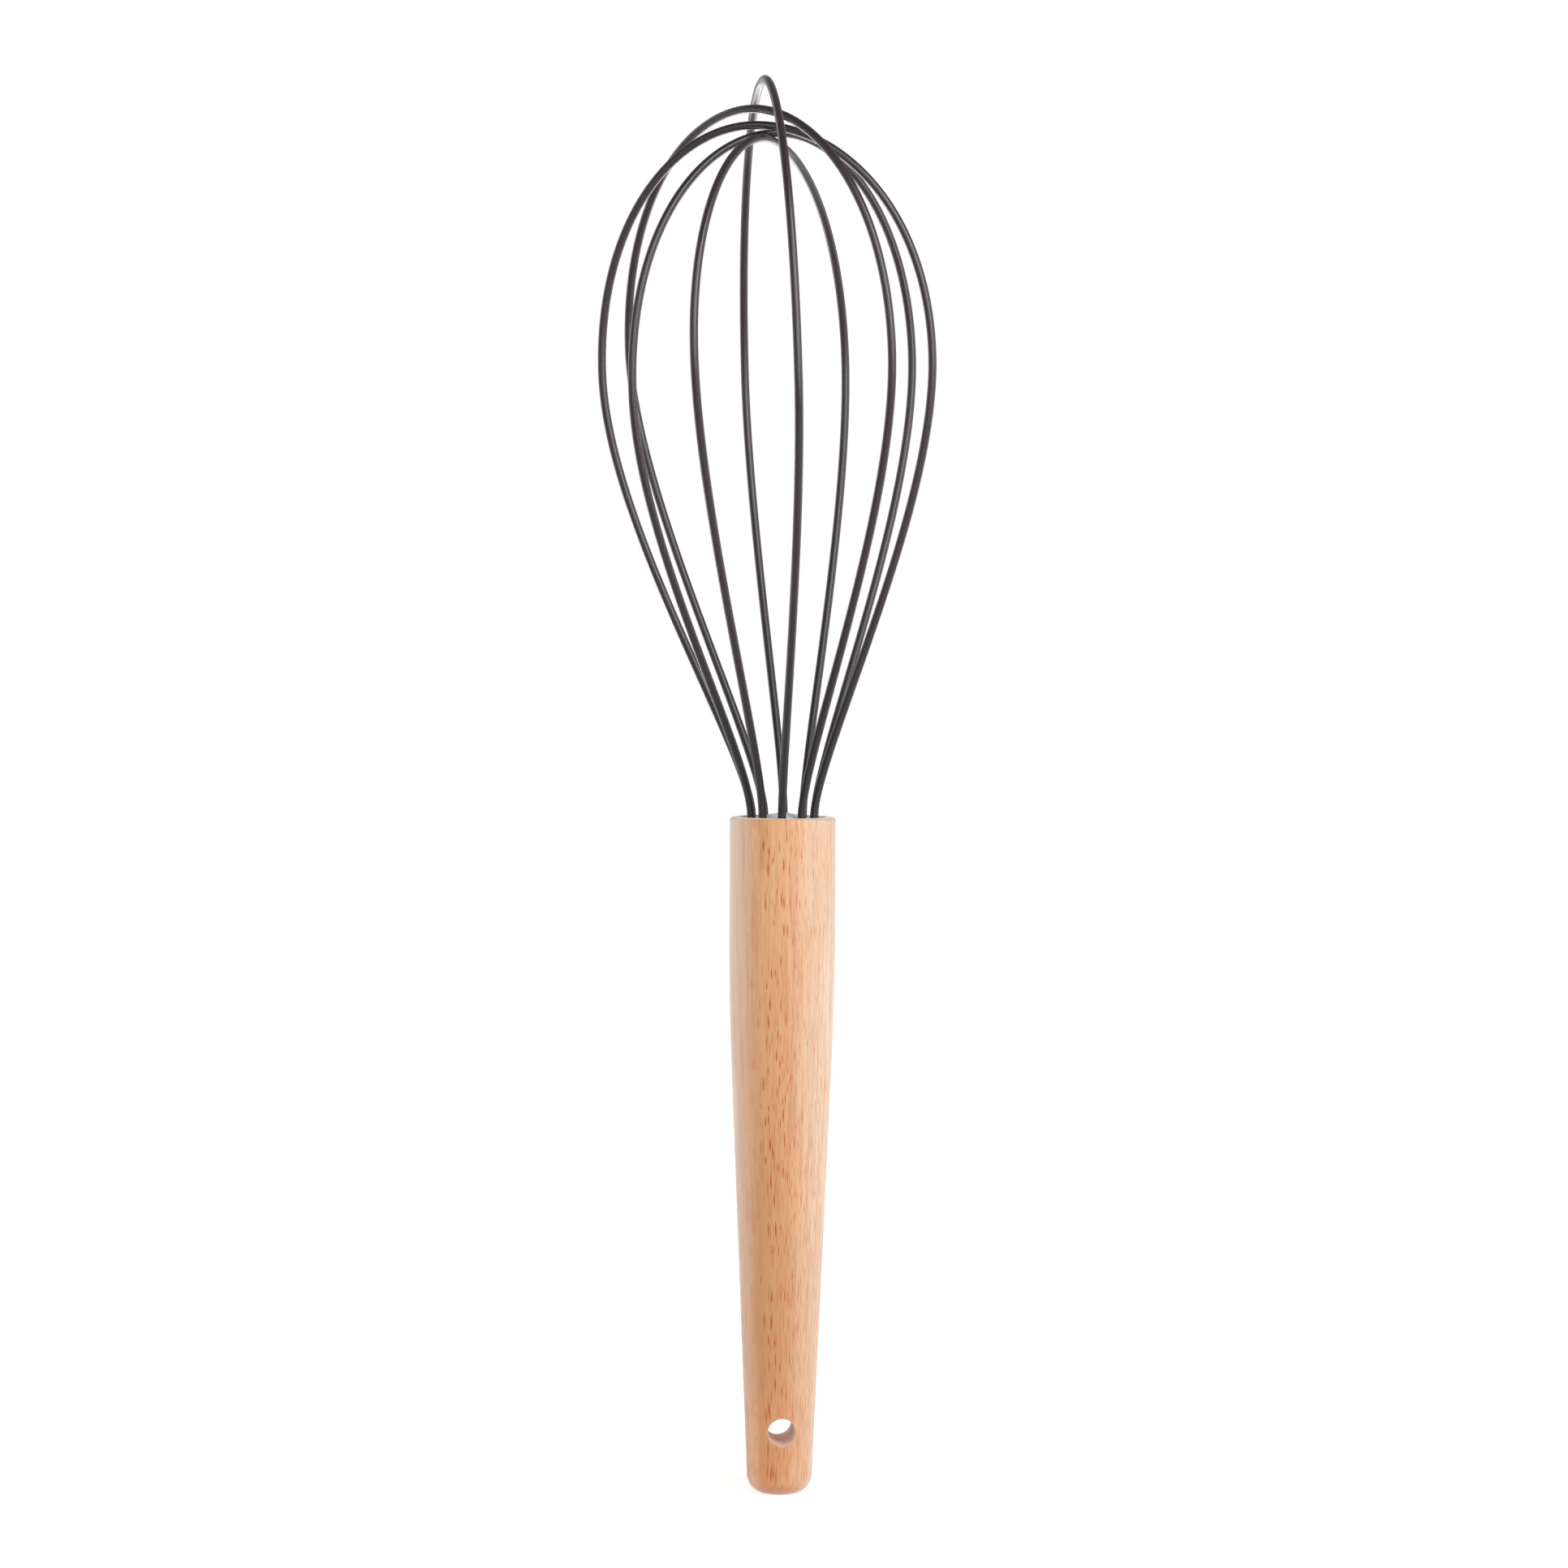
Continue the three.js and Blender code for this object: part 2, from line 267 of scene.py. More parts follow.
def beechFinish():
    wood = Finish(bpy.data.materials.new("beech"))
    tones = beech["tones"]
    shares = beech["shares"]

    def grained(vector, key, shift=(0, 0, 0)):
        return wood.noise(vector, beech["cells"][key], shift)

    def marked(value, key):
        return wood.between(value, *beech["marks"][key])

    def zone(value, key):
        low, high = beech["zones"][key]
        return wood.between(value, low * mm, high * mm)

    def joined(sockets):
        return wood.node("ShaderNodeCombineXYZ", None, sockets)

    def length(first, second):
        return wood.math("SQRT", first * first + second * second)

    place = wood.place()
    side = wood.split(place, "X")
    turned = wood.node("ShaderNodeMapping", None,
                       {"Vector": place, "Rotation": (0, 0, math.radians(beech["turn"]))})
    split = wood.split(turned, "X")
    height = split.output("Z")
    taper = wood.ramp(height, 0, beech["taperTop"], beech["buttShare"], 1)  # grain narrows with the handle
    across = split / taper + (grained(place, "sway") - 0.5) * beech["sway"]
    along = split.output("Y") / taper
    grain = joined({"X": across, "Y": along, "Z": height})
    facing = wood.math("ABSOLUTE", along) / (length(across, along) + beech["axis"])
    tangent = marked(facing, "tangent")  # 0 where the surface runs along the rays, 1 across their ends

    # Rays are upright sheets through the wood: dashes where they are cut across, soft patches where grazed
    ragged = grained(place, "ragged")
    frayed = across + (ragged - 0.5) * beech["rayFray"]

    def rays(kind):
        wide, tall = kind["room"]
        sheet = joined({"X": frayed / wide + kind["shift"],
                        "Y": height / tall + ragged * beech["rayTips"] + kind["shift"]})
        cells = wood.node(
            "ShaderNodeTexVoronoi",
            {"feature": "F1", "distance": "MINKOWSKI", "voronoi_dimensions": "2D"},
            {"Vector": sheet, "Scale": 1.0, "Exponent": beech["rayRoundness"]}, "Distance")
        chance = wood.node("ShaderNodeSeparateColor", None, {"Color": cells.output("Color")}, "Red")
        girth = chance.output("Green") * kind["girth"][1] + kind["girth"][0]
        depth = chance.output("Blue") * beech["rayDepth"][1] + beech["rayDepth"][0]
        width = taper * beech["raySpread"][1] + beech["raySpread"][0]
        body = 1 - marked(cells * width / girth, "ray")
        none = 1 - kind["share"]
        return body * wood.between(chance, none, none + beech["rayFade"]) * depth

    squareOn = marked(facing, "squareOn") * shares["squareOn"]
    dashes = rays(beech["broadRay"]) * (1 - squareOn) + rays(beech["fineRay"]) * shares["fine"]
    streaks = grained(grain, "streaks")
    fibres = grained(grain, "fibres")
    threads = marked(streaks, "streaks") * shares["streaks"] + marked(fibres, "fibres") * shares["fibres"]

    bands = grained(grain, "bands")
    rings = length(across, along + beech["pith"]) / beech["ring"] + bands * beech["ringBend"]
    late = marked(wood.math("FRACT", rings), "late")
    blush = marked(grained(place, "blush", beech["blushShift"]), "blush")
    grazed = marked(grained(place, "blots"), "blots") * (1 - marked(facing, "grazed"))
    turning = grained(place, "turning")

    upper = zone(height, "upper")
    left = 1 - zone(side, "left")
    flank = 1 - zone(side / taper, "flank")
    # the flecks fade towards the left edge, under the painted sheen
    spread = zone(side, "spread")
    drilled = wood.node("ShaderNodeAttribute", {"attribute_name": "drilled"}, None, "Fac")
    layers = [  # share and tone, from the first to the last laid on
        # painted shade, darker towards the butt
        ((1 - upper) * shares["low"], tones["low"]),
        # painted light: paler on the right, more so towards the mouth
        (zone(side, "right") * (upper * shares["paintedLightTop"] + shares["light"]), tones["light"]),
        # painted sheen along the left edge
        (left * shares["edge"], tones["edge"]),
        (blush * shares["blush"], tones["pink"]),
        (late * shares["late"] + threads, tones["thread"]),
        # painted sheen on the left flank, where the surface runs along the rays
        ((1 - marked(facing, "paintedSilkSheen")) * flank * shares["paintedSilkSheen"], tones["paintedSilkSheen"]),
        # flecks darker towards the butt, as painted shade
        (dashes * tangent * spread, wood.mix(upper, tones["rayLowShade"], tones["ray"])),
        (grazed * spread * shares["grazed"] + left * turning * shares["turning"], tones["graze"]),
        # the butt darker: end grain, and painted shade where it meets the floor
        ((1 - zone(height, "foot")) * shares["foot"], tones["foot"]),
        # raw drilled wood on the hole's wall, paler as painted light
        (drilled * shares["drilled"], tones["drilled"]),
        # painted highlight along the top of the rim
        (zone(height, "rim") * shares["rim"], tones["rim"]),
    ]
    colour = wood.mix(marked(bands, "bands"), tones["pale"], tones["warm"])
    for share, laid in layers:
        colour = wood.mix(share, colour, laid)

    raised = beech["relief"]
    relief = (grained(grain, "pores") * raised["pores"] + streaks * raised["streaks"]
              + turning * raised["turning"] - dashes * raised["rays"])
    rough = beech["rough"]
    coat = beech["coat"]
    return wood.surface({
        "Base Color": colour,
        "Roughness": (rough["plain"] + streaks * rough["streaks"] + dashes * rough["rays"]
                      + drilled * rough["drilled"]),
        "Normal": wood.bump(relief, beech["reliefDepth"], beech["reliefStrength"]),
        "Coat Weight": (upper * coat["upper"] + coat["butt"]) * (1 - drilled),
        "Coat Roughness": 0.36,
        "Sheen Weight": 0.34,
        "Sheen Roughness": 0.45,
        "Sheen Tint": (1, 1, 1, 1),
    })


# Silicone, plug, steel and resin: two tones, cells as for the beech, roughness and what a mark adds to it

silicone = {
    "tones": (tone(47, 35, 36), tone(57, 44, 45)),
    "cloud": ((7, 7, 16), 2, 0.5),
    "wipe": ((2.5, 2.5, 9), 1, 0.5),
    "rootShadeTone": tone(24, 14, 12),  # painted shade: darker near the mouth, and duller
    "rootShadeShare": 0.85,
    "rootHeight": (150 * mm, 205 * mm),
    "rough": {"plain": 0.23, "wipe": 0.08, "root": 0.08},
}
plugSkin = {
    "tones": (tone(240, 244, 246), tone(250, 252, 253)),
    "cloud": ((2.5, 2.5, 2.5), 3, 0.6),
    "skin": ((0.12, 0.12, 0.12), 2, 0.5),
    "skinDepth": 0.01 * mm,
    "skinStrength": 0.4,
    "rough": {"plain": 0.26, "cloud": 0.14},
}
steel = {
    "tones": (tone(178, 181, 184), tone(206, 208, 210)),
    "drawn": ((0.06, 0.06, 9), 3, 0.6),
    "rough": {"plain": 0.22, "drawn": 0.2},
}
resin = {
    "tones": (tone(222, 208, 168), tone(196, 172, 120)),
    "cloud": ((4, 4, 6), 3, 0.6),
    "rough": {"plain": 0.2, "cloud": 0.12},
}


def siliconeFinish():
    cover = Finish(bpy.data.materials.new("silicone"))
    place = cover.place()
    wipe = cover.noise(place, silicone["wipe"])
    root = 1 - cover.between(cover.split(place, "Z"), *silicone["rootHeight"])
    black = cover.mix(cover.noise(place, silicone["cloud"]), *silicone["tones"])
    rough = silicone["rough"]
    return cover.surface({
        # painted shade, darker near the mouth
        "Base Color": cover.mix(root * silicone["rootShadeShare"], black, silicone["rootShadeTone"]),
        "Roughness": rough["plain"] + wipe * rough["wipe"] + root * rough["root"],
        "Specular IOR Level": 0.8,
    })


def plugFinish():
    grey = Finish(bpy.data.materials.new("spacer_grey"))
    place = grey.place()
    cloud = grey.noise(place, plugSkin["cloud"])
    skin = grey.noise(place, plugSkin["skin"])
    rough = plugSkin["rough"]
    return grey.surface({
        "Base Color": grey.mix(cloud, *plugSkin["tones"]),
        "Roughness": rough["plain"] + cloud * rough["cloud"],
        "Metallic": 0.04,
        "Normal": grey.bump(skin, plugSkin["skinDepth"], plugSkin["skinStrength"]),
    })


def steelFinish():
    wire = Finish(bpy.data.materials.new("steel"))
    drawn = wire.noise(wire.place(), steel["drawn"])
    rough = steel["rough"]
    return wire.surface({
        "Base Color": wire.mix(drawn, *steel["tones"]),
        "Roughness": rough["plain"] + drawn * rough["drawn"],
        "Metallic": 1.0,
    })


def resinFinish():
    potting = Finish(bpy.data.materials.new("resin"))
    cloud = potting.noise(potting.place(), resin["cloud"])
    rough = resin["rough"]
    return potting.surface({
        "Base Color": potting.mix(cloud, *resin["tones"]),
        "Roughness": rough["plain"] + cloud * rough["cloud"],
    })


finishes = {
    "beech": beechFinish(),
    "silicone": siliconeFinish(),
    "spacer_grey": plugFinish(),
    "steel": steelFinish(),
    "resin": resinFinish(),
}
for row in frame["record"]["subparts"]:
    node = frame["nodes"][row["node"]]
    node.data.materials.clear()
    node.data.materials.append(finishes[row["material_slot"]])
print("finishes:", ", ".join(finishes))


def seat(piece, slot, *nodes):  # a finished piece takes the place of CAD nodes
    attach(piece, "root")
    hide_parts(*nodes)


# Turned shapes: rows of radius and height, made into rings of points about Z

def spaced(low, high, steps):
    return [low + (high - low) * i / steps for i in range(steps + 1)]


def arc(centreRadius, centreHeight, radius, start, end, steps):
    rows = []
    for angle in spaced(start, end, steps):
        turn = math.radians(angle)
        rows.append((centreRadius + radius * math.cos(turn), centreHeight + radius * math.sin(turn)))
    return rows


def addRings(mesh, rows, sides):
    grid = []
    for radius, height in rows:
        ring = [direction(360 * i / sides) * radius + up * height for i in range(sides)]
        grid.append([mesh.verts.new(point) for point in ring])
    return grid


def joinRings(mesh, near, far, skipped=()):
    for i in range(len(near)):
        if i not in skipped:
            after = (i + 1) % len(near)
            mesh.faces.new((near[i], near[after], far[after], far[i]))


def addPole(mesh, ring, height):
    pole = mesh.verts.new(up * height)
    for i in range(len(ring)):
        mesh.faces.new((pole, ring[i], ring[(i + 1) % len(ring)]))


def finishedMesh(mesh, name):
    bmesh.ops.recalc_face_normals(mesh, faces=mesh.faces)
    data = bpy.data.meshes.new(name)
    mesh.to_mesh(data)
    mesh.free()
    return data


def smooth(data, sharpFrom):
    data.shade_smooth()
    data.set_sharp_from_angle(angle=math.radians(sharpFrom))


# Handle: a turned skin with the hanging hole worked into it

handle = {
    "length": 143.8 * mm,
    "gripRadius": 11.25 * mm,
    "gripLength": 38 * mm,
    "blend": 15 * mm,
    "buttRadius": 6.75 * mm,
    "buttRounding": 3.9 * mm,
    "mouthRounding": 0.8 * mm,
    "socketRadius": 9.05 * mm,
    "socketDepth": 34 * mm,
    "socketEasing": 0.25 * mm,
    "holeRadius": 2.9 * mm,
    "holeHeight": 13.9 * mm,
    "holeEasing": 0.22 * mm,
    "holePatch": 4.8 * mm,
    "wear": 0.21 * mm,  # how far the worn edge of the easing strays
    "wearWaves": 3,
    "wearShift": 5,  # sets the wear of the two ends apart
    "sides": 144,
    "patchSides": 15,  # from the hole's middle to the edge of its patch
    "patchRows": 20,
    "flatRing": 0.5,  # share of a flat end's radius where its fan of faces starts
    "steps": {  # rows of faces along each part of the outline
        "butt": 12,
        "taper": 36,
        "blend": 12,
        "grip": 8,
        "rim": 8,
        "easing": 3,
        "socket": 6,
        "hole": 14,
    },
    "gapShares": (0.3, 0.55, 0.78, 1),  # rings from the edge of the patch to the hole
    "easingTurns": (22.5, 45, 67.5, 90),  # degrees round the eased rim
    "sharpFrom": 50,  # degrees
}
taperTop = handle["length"] - handle["gripLength"]
taperSlope = (handle["gripRadius"] - handle["buttRadius"]) / taperTop


def taperRadius(height):
    return handle["buttRadius"] + taperSlope * height


def handleRows():
    steps = handle["steps"]
    rounding = handle["buttRounding"]
    lean = math.degrees(math.atan(taperSlope))
    buttCentre = taperRadius(rounding) - rounding / math.cos(math.radians(lean))
    rows = [(buttCentre * handle["flatRing"], 0)]
    rows += arc(buttCentre, rounding, rounding, -90, -lean, steps["butt"])
    low = handle["holeHeight"] - handle["holePatch"]
    high = handle["holeHeight"] + handle["holePatch"]
    patchStart = len(rows)
    rows += [(taperRadius(z), z) for z in spaced(low, high, handle["patchRows"])]
    start = taperTop - handle["blend"]
    rows += [(taperRadius(z), z) for z in spaced(high, start, steps["taper"])[1:]]
    for share in spaced(0, 1, steps["blend"])[1:]:
        corner = 1 - share
        radius = corner ** 2 * taperRadius(start) + (1 - corner ** 2) * handle["gripRadius"]
        rows.append((radius, start + 2 * handle["blend"] * share))
    edge = handle["mouthRounding"]
    rim = handle["length"] - edge
    rows += [(handle["gripRadius"], z) for z in spaced(rows[-1][1], rim, steps["grip"])[1:-1]]
    rows += arc(handle["gripRadius"] - edge, rim, edge, 0, 90, steps["rim"])
    ease = handle["socketEasing"]
    bore = handle["socketRadius"]
    rows += arc(bore + ease, handle["length"] - ease, ease, 90, 180, steps["easing"])
    floor = handle["length"] - handle["socketDepth"]
    rows += [(bore, z) for z in spaced(handle["length"] - ease, floor, steps["socket"])[1:]]
    rows.append((bore * handle["flatRing"], floor))
    return rows, patchStart


def handleMesh():
    rows, patchStart = handleRows()
    sides = handle["sides"]
    half = handle["patchSides"]
    patchEnd = patchStart + handle["patchRows"]
    mesh = bmesh.new()
    drilled = mesh.verts.layers.float.new("drilled")
    grid = addRings(mesh, rows, sides)
    patchColumns = {(start + i) % sides for start in (0, sides // 2) for i in range(-half, half)}
    for j in range(len(rows) - 1):
        joinRings(mesh, grid[j], grid[j + 1], patchColumns if patchStart <= j < patchEnd else ())
    addPole(mesh, grid[0], 0)
    addPole(mesh, grid[-1], rows[-1][1])

    # Each mouth of the hole: rings from the edge of the gap in the skin to the eased rim
    centre = handle["holeHeight"]
    ease = handle["holeEasing"]
    holeEnds = []
    for face, middle in ((-1, 0), (1, sides // 2)):
        columns = [(middle + i) % sides for i in range(-half, half + 1)]
        edge = {grid[j][i] for j in range(patchStart, patchEnd + 1) for i in (columns[0], columns[-1])}
        edge |= {grid[j][i] for j in (patchStart, patchEnd) for i in columns}
        border = sorted(edge, key=lambda v: math.atan2(v.co.z - centre, v.co.x))
        angles = [math.atan2(v.co.z - centre, v.co.x) for v in border]
        rings = [border]

        def addRing(place, depth, share):
            ring = []
            for start, angle in zip(border, angles):
                x, z = place(start, angle)
                y = math.sqrt(taperRadius(z) ** 2 - x ** 2) - depth
                vertex = mesh.verts.new((x, face * y, z))
                vertex[drilled] = share
                ring.append(vertex)
            rings.append(ring)

        def rimRadius(angle, extra):
            waves = handle["wearWaves"]
            shift = face * handle["wearShift"]
            worn = noise.noise(Vector((math.cos(angle) * waves, math.sin(angle) * waves, shift)))
            return handle["holeRadius"] + extra * (1 + worn * handle["wear"] / ease)

        for share in handle["gapShares"]:
            def inGap(start, angle, share=share):
                radius = rimRadius(angle, ease)
                x = start.co.x + (radius * math.cos(angle) - start.co.x) * share
                z = start.co.z + (centre + radius * math.sin(angle) - start.co.z) * share
                return x, z
            addRing(inGap, 0, 0)
        for turn in handle["easingTurns"]:
            bend = math.radians(turn)

            def onRim(start, angle, bend=bend):
                radius = rimRadius(angle, ease * (1 - math.sin(bend)))
                return radius * math.cos(angle), centre + radius * math.sin(angle)
            addRing(onRim, ease * (1 - math.cos(bend)), turn / 90)
        holeEnds.append(rings)

    front, rear = (rings[-1] for rings in holeEnds)
    wall = [front]
    for share in spaced(0, 1, handle["steps"]["hole"])[1:-1]:
        ring = []
        for a, b in zip(front, rear):
            vertex = mesh.verts.new(a.co.lerp(b.co, share))
            vertex[drilled] = 1
            ring.append(vertex)
        wall.append(ring)
    wall.append(rear)
    for rings in (*holeEnds, wall):
        for near, far in zip(rings, rings[1:]):
            joinRings(mesh, near, far)
    return finishedMesh(mesh, "beech_handle")


beechHandle = addObject("beech_handle", handleMesh())
smooth(beechHandle.data, handle["sharpFrom"])
beechHandle.data.materials.append(finishes["beech"])
seat(beechHandle, "beech", "handle")
print("handle:", len(beechHandle.data.polygons), "faces")


# Geometry Nodes trees, built from links between named nodes

class Tree:
    def __init__(self, name, inputs):
        self.group = bpy.data.node_groups.new(name, "GeometryNodeTree")
        self.group.is_modifier = True
        self.group.interface.new_socket("Geometry", in_out="OUTPUT", socket_type="NodeSocketGeometry")
        self.group.interface.new_socket("Geometry", in_out="INPUT", socket_type="NodeSocketGeometry")
        self.keys = {}
        for label, kind in inputs.items():
            socket = self.group.interface.new_socket(label, in_out="INPUT", socket_type="NodeSocket" + kind)
            self.keys[label] = socket.identifier
        self.start = self.group.nodes.new("NodeGroupInput")

    def given(self, label):
        return self.start.outputs[label]

    def node(self, kind, settings=None, sockets=None):
        return addNode(self.group, kind, settings, sockets).outputs[0]

    def finish(self, geometry):
        whole = self.node("GeometryNodeRealizeInstances", None, {"Geometry": geometry})
        dressed = self.node("GeometryNodeSetMaterial", None,
                            {"Geometry": whole, "Material": self.given("Finish")})
        end = self.group.nodes.new("NodeGroupOutput")
        self.group.links.new(dressed, end.inputs[0])

    def grow(self, name, source, values):  # runs the tree on an object and keeps the result as a plain mesh
        grower = addObject(name + "_path", source)
        modifier = grower.modifiers.new("grow", "NODES")
        modifier.node_group = self.group
        for label, value in values.items():
            modifier[self.keys[label]] = value
        evaluated = grower.evaluated_get(bpy.context.evaluated_depsgraph_get())
        data = bpy.data.meshes.new_from_object(evaluated)
        data.name = name
        bpy.data.objects.remove(grower)
        return addObject(name, data)


# Wires: the loops' sizes are those of the frame, as curves with the same handles

head = {
    "sleeveEnd": 137.5 * mm,
    "seatRadius": 6.985 * mm,
    "ringTurn": -5.9,  # degrees
    "seatStep": 36,  # degrees from seat to seat
    "lean": 2.15,  # degrees
    "leanTowards": -66.5,  # degrees from the front
    "rootReach": 13.2 * mm,  # curve handle above the mouth
    "bellyReach": 32.6 * mm,  # curve handle below the belly
    "shoulder": 0.63,  # curve handle above the belly, as a share of the rise to the crown
    "crown": 0.49,  # curve handle beside the crown, as a share of the way out to the belly
    "wireRadius": 0.88 * mm,
    "sides": 18,
    "steps": 260,
    "curveSteps": 64,
}
loopKeys = ("seat", "twist", "halfWidth", "drift", "belly", "tilt", "crown", "lead", "shift")
loopRows = [  # innermost crown first, degrees and millimetres
    (-1, 10.2, 34.5, -1, 96.8, 0.1, 142.4, 2.1, 1.3),
    (-2, 9, 32.7, -0.9, 93.5, -3.3, 144, -4.4, -1.1),
    (2, 10, 35.3, -0.9, 95.5, 0.4, 145.4, -2.4, -1.2),
    (1, 15.4, 36.4, -3.6, 98.6, -2.7, 148.8, -2.3, -2.7),
    (0, 10.8, 35.2, 0, 92.8, -1.9, 154.9, 0, 0.2),
]
loops = [dict(zip(loopKeys, row)) for row in loopRows]
mouthCentre = up * handle["length"]
leaning = Quaternion(direction(head["leanTowards"] + 90), math.radians(head["lean"]))
headAxis = leaning @ up


def wireCurve(name, loop):
    seatAngle = head["ringTurn"] + loop["seat"] * head["seatStep"]
    bellyAngle = seatAngle + loop["twist"]
    front = direction(bellyAngle)
    overhead = front * loop["lead"] + direction(bellyAngle + 90) * loop["shift"]
    crown = mouthCentre + leaning @ (overhead + up * loop["crown"]) * mm
    knots = []  # place, handle before, handle after
    for side in (1, -1):
        root = direction(seatAngle) * side * head["seatRadius"] + mouthCentre
        end = Vector((root.x, root.y, head["sleeveEnd"]))
        bellyHeight = loop["belly"] + side * loop["tilt"]
        reach = side * loop["halfWidth"] + loop["drift"]
        belly = mouthCentre + leaning @ (front * reach + up * bellyHeight) * mm
        rise = headAxis * (loop["crown"] - bellyHeight) * mm * head["shoulder"]
        over = crown + leaning @ front * (reach - loop["lead"]) * mm * head["crown"]
        leg = [  # straight up to the mouth, then a curve
            (end, end, end.lerp(root, 1 / 3)),
            (root, root.lerp(end, 1 / 3), root + up * head["rootReach"]),
            (belly, belly - headAxis * head["bellyReach"], belly + rise),
        ]
        if side == 1:
            knots += leg
            knots.append((crown, over, over))
        else:
            knots[-1] = (crown, knots[-1][1], over)
            knots += [(place, after, before) for place, before, after in reversed(leg)]
    curve = bpy.data.curves.new(name, "CURVE")
    curve.dimensions = "3D"
    spline = curve.splines.new("BEZIER")
    spline.resolution_u = head["curveSteps"]
    spline.bezier_points.add(len(knots) - 1)
    for knot, (place, before, after) in zip(spline.bezier_points, knots):
        knot.handle_left_type = knot.handle_right_type = "FREE"
        knot.co = place
        knot.handle_left = before
        knot.handle_right = after
    return curve


def sleeveTree():
    tree = Tree("coveredWire", {"Radius": "Float", "Sides": "Int", "Steps": "Int", "Finish": "Material"})
    path = tree.node("GeometryNodeResampleCurve", None,
                     {"Curve": tree.given("Geometry"), "Count": tree.given("Steps")})
    section = tree.node("GeometryNodeCurvePrimitiveCircle", None,
                        {"Resolution": tree.given("Sides"), "Radius": tree.given("Radius")})
    tube = tree.node("GeometryNodeCurveToMesh", None,
                     {"Curve": path, "Profile Curve": section, "Fill Caps": True})
    tree.finish(tree.node("GeometryNodeSetShadeSmooth", None, {"Geometry": tube}))
    return tree


coveredWire = sleeveTree()
for number, loop in enumerate(loops, 1):
    sleeve = coveredWire.grow(f"covered_wire_{number}", wireCurve(f"wire_{number}", loop), {
        "Radius": head["wireRadius"],
        "Sides": head["sides"],
        "Steps": head["steps"],
        "Finish": finishes["silicone"],
    })
    seat(sleeve, "silicone", f"silicone_sleeve_{number}")
print("wires:", len(loops), "loops")


# Plug in the mouth: a turned disc with a low dome, pierced at every wire seat

plug = {
    "radius": 8.95 * mm,
    "top": 143.5 * mm,
    "bottom": 137.5 * mm,
    "domeRadius": 5.07 * mm,
    "domeRise": 1.2 * mm,
    "domeSteps": 10,
    "passageRadius": 0.99 * mm,
    "passageSides": 24,
    "seats": 10,
    "sides": 120,
    "sharpFrom": 25,  # degrees
}


def plugDisc():
    ball = (plug["domeRadius"] ** 2 + plug["domeRise"] ** 2) / (2 * plug["domeRise"])
    centre = plug["top"] + plug["domeRise"] - ball
    edge = math.degrees(math.asin((plug["top"] - centre) / ball))
    rows = [(plug["radius"], plug["bottom"]), (plug["radius"], plug["top"])]
    rows += arc(0, centre, ball, edge, 90, plug["domeSteps"])[:-1]
    disc = bmesh.new()
    rings = addRings(disc, rows, plug["sides"])
    for near, far in zip(rings, rings[1:]):
        joinRings(disc, near, far)
    addPole(disc, rings[0], plug["bottom"])
    addPole(disc, rings[-1], plug["top"] + plug["domeRise"])
    return finishedMesh(disc, "plug_disc")


def plugTree():
    tree = Tree("piercedPlug", {
        "Seats": "Int", "Seat Radius": "Float", "Passage Radius": "Float", "Passage Sides": "Int",
        "Turn": "Float", "Height": "Float", "Depth": "Float", "Finish": "Material"})
    ring = tree.node("GeometryNodeMeshCircle", None,
                     {"Vertices": tree.given("Seats"), "Radius": tree.given("Seat Radius")})
    spin = tree.node("ShaderNodeCombineXYZ", None, {"Z": tree.given("Turn")})
    lift = tree.node("ShaderNodeCombineXYZ", None, {"Z": tree.given("Height")})
    placed = tree.node("GeometryNodeTransform", None,
                       {"Geometry": ring, "Rotation": spin, "Translation": lift})
    drill = tree.node("GeometryNodeMeshCylinder", None, {
        "Vertices": tree.given("Passage Sides"), "Radius": tree.given("Passage Radius"),
        "Depth": tree.given("Depth")})
    drills = tree.node("GeometryNodeInstanceOnPoints", None, {"Points": placed, "Instance": drill})
    holes = tree.node("GeometryNodeRealizeInstances", None, {"Geometry": drills})
    pierced = tree.node("GeometryNodeMeshBoolean", {"operation": "DIFFERENCE", "solver": "EXACT"},
                        {"Mesh 1": tree.given("Geometry"), "Mesh 2": holes})
    tree.finish(pierced)
    return tree


mouthPlug = plugTree().grow("mouth_plug", plugDisc(), {
    "Seats": plug["seats"],
    "Seat Radius": head["seatRadius"],
    "Passage Radius": plug["passageRadius"],
    "Passage Sides": plug["passageSides"],
    "Turn": math.radians(head["ringTurn"] - 90),
    "Height": (plug["top"] + plug["bottom"]) / 2,
    "Depth": 2 * (plug["top"] - plug["bottom"]),
    "Finish": finishes["spacer_grey"],
})
smooth(mouthPlug.data, plug["sharpFrom"])
seat(mouthPlug, "spacer_grey", "wire_spacer")
print("plug:", len(mouthPlug.data.polygons), "faces")


# Camera at the photograph's angle: the middle of the handle's mouth is at a known pixel

shot = {
    "frame": 1932,  # pixels
    "mouthAt": (964.6, 1006.2),
    "pixelsPerMetre": 5820,  # at the mouth
    "distance": 0.88,
    "turn": -4.4,  # degrees, as are pitch and roll
    "pitch": 2,
    "roll": -0.317,
    "sensor": 36,
    "nearest": 0.01,
}


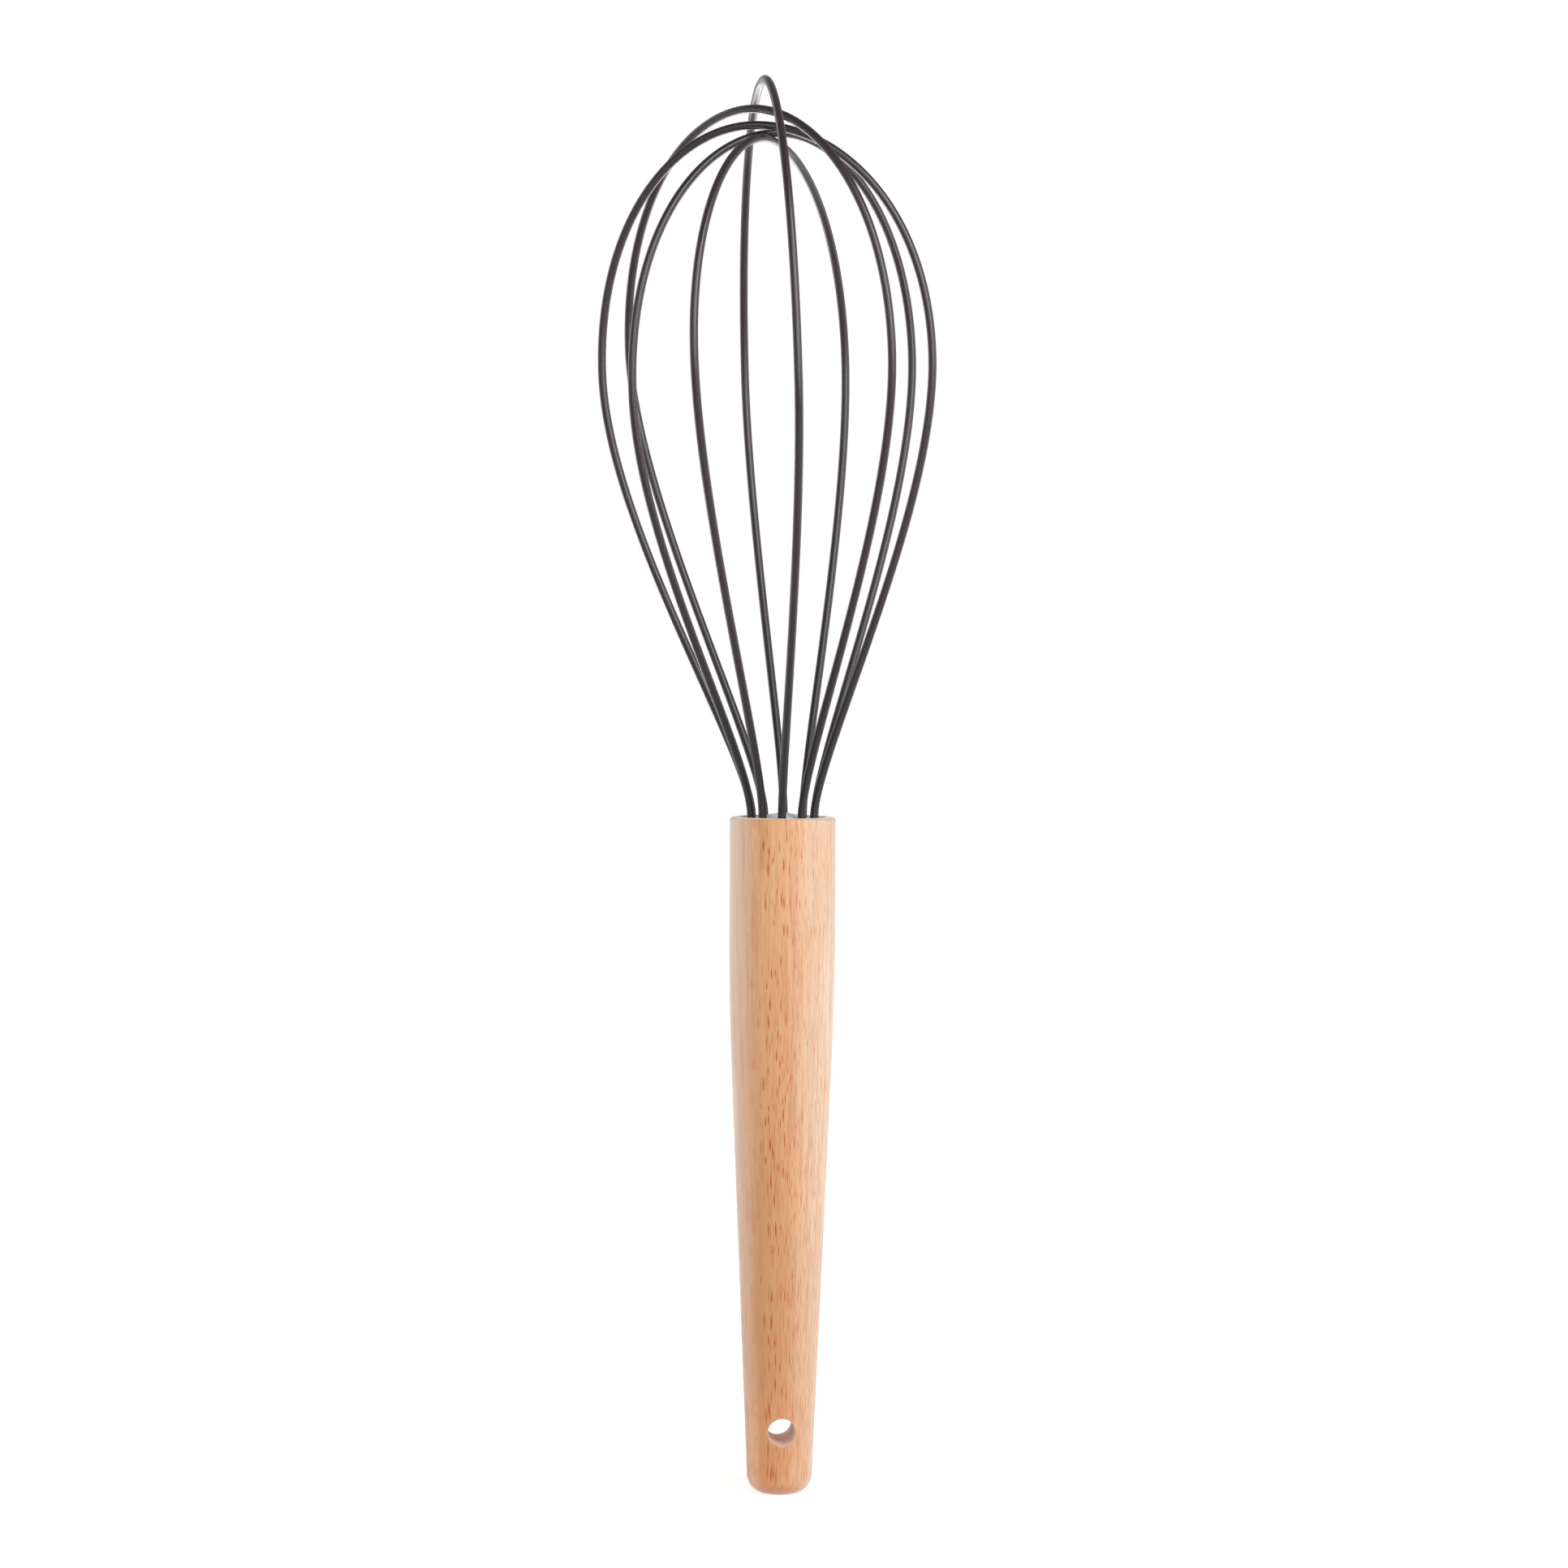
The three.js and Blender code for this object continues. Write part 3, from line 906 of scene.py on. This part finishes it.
def addCamera():
    data = bpy.data.cameras.new("camera")
    camera = addObject("camera", data)
    pitch = math.radians(shot["pitch"])
    forward = -direction(shot["turn"]) * math.cos(pitch) - up * math.sin(pitch)
    right = forward.cross(up).normalized()
    above = right.cross(forward)
    roll = math.radians(shot["roll"])
    right, above = (right * math.cos(roll) - above * math.sin(roll),
                    above * math.cos(roll) + right * math.sin(roll))
    middle = shot["frame"] / 2
    aside = (shot["mouthAt"][0] - middle) / shot["pixelsPerMetre"]
    below = (shot["mouthAt"][1] - middle) / shot["pixelsPerMetre"]
    place = mouthCentre - forward * shot["distance"] - right * aside + above * below
    axes = Matrix((right, above, -forward)).transposed()
    camera.matrix_world = Matrix.Translation(place) @ axes.to_4x4()
    data.sensor_width = shot["sensor"]
    data.lens = shot["pixelsPerMetre"] * shot["distance"] / shot["frame"] * shot["sensor"]
    data.clip_start = shot["nearest"]
    bpy.context.scene.camera = camera


addCamera()
print("camera set")


# Floor, sky and soft lights

studio = {
    "floorSize": 12,
    "floorTones": (tone(198, 198, 198), tone(203, 203, 203)),
    "floorSpeck": ((2, 2, 2), 2, 0.5),
    "floorGlow": 0.9,
    "nearGlow": 0.78,
    "farGlow": (0.1, 0.8),
    "glowFrom": (-0.105, -0.08),
    "sky": {"front": 0.42, "back": 1.0, "overhead": 0.3, "overheadFrom": (0.05, 0.6)},
    "aim": 0.15,
    "lights": [  # name, angle from the front, height, distance, width, tall, watts, what it faces
        ("front_box", 0, 0.62, 1.1, 1.0, 0.8, 4.3, "whisk"),
        ("right_box", 34, 0.6, 0.9, 0.36, 0.8, 5.0, "whisk"),
        ("side_box", 85, 0.3, 0.9, 0.5, 0.9, 1.6, "whisk"),
        ("left_box", -125, 0.5, 0.9, 0.4, 0.8, 1.4, "whisk"),
        ("rear_panel", 180, 0.15, 0.27, 0.5, 0.36, 2.2, "up"),
    ],
}


def addFloor():
    half = studio["floorSize"] / 2
    data = bpy.data.meshes.new("floor")
    corners = [(-half, -half, 0), (half, -half, 0), (half, half, 0), (-half, half, 0)]
    data.from_pydata(corners, [], [(0, 1, 2, 3)])
    floor = addObject("floor", data)
    pale = Finish(bpy.data.materials.new("floor_white"))
    place = pale.place()
    away = pale.node("ShaderNodeVectorMath", {"operation": "LENGTH"}, {0: place}, "Value")
    glow = studio["nearGlow"] + pale.between(away, *studio["farGlow"]) * (1 - studio["nearGlow"])
    # Pale from every side, but it lights the whisk from behind only
    behind = pale.between(pale.split(place, "Y"), *studio["glowFrom"])
    seen = pale.node("ShaderNodeLightPath", output="Is Camera Ray")
    shine = glow * (behind + seen * (1 - behind))
    data.materials.append(pale.surface({
        "Base Color": pale.mix(pale.noise(place, studio["floorSpeck"]), *studio["floorTones"]),
        "Roughness": 0.75,
        "Emission Color": pale.mix(shine, (0, 0, 0, 1), (1, 1, 1, 1)),
        "Emission Strength": studio["floorGlow"],
    }))


def addSky():
    # Dim overhead and on the camera's side for the light that it gives, plain white to look at
    bpy.context.scene.world = bpy.data.worlds.new("studio")
    sky = Finish(bpy.context.scene.world)
    shade = studio["sky"]
    towards = sky.node("ShaderNodeTexCoord", output="Generated")
    depth = sky.ramp(sky.split(towards, "Y"), -1, 1, shade["front"], shade["back"])
    rise = sky.ramp(sky.split(towards, "Z"), *shade["overheadFrom"], 1, shade["overhead"])
    light = depth * rise
    seen = sky.node("ShaderNodeLightPath", output="Is Camera Ray")
    glow = sky.node("ShaderNodeBackground", None,
                    {"Color": (1, 1, 1, 1), "Strength": light + seen * (1 - light)})
    sky.node("ShaderNodeOutputWorld", None, {"Surface": glow})


def addLights():
    for name, angle, height, distance, width, tall, watts, faces in studio["lights"]:
        data = bpy.data.lights.new(name, "AREA")
        data.shape = "RECTANGLE"
        data.size = width
        data.size_y = tall
        data.energy = watts
        lamp = addObject(name, data)
        lamp.location = direction(angle) * distance + up * height
        if faces == "up":
            lamp.rotation_euler = (math.pi, 0, math.radians(angle))
        else:
            facing = up * studio["aim"] - lamp.location
            lamp.rotation_euler = facing.to_track_quat("-Z", "Y").to_euler()
        lamp.visible_camera = False


addFloor()
addSky()
addLights()
bpy.context.scene.view_settings.view_transform = "Standard"
print("studio set")
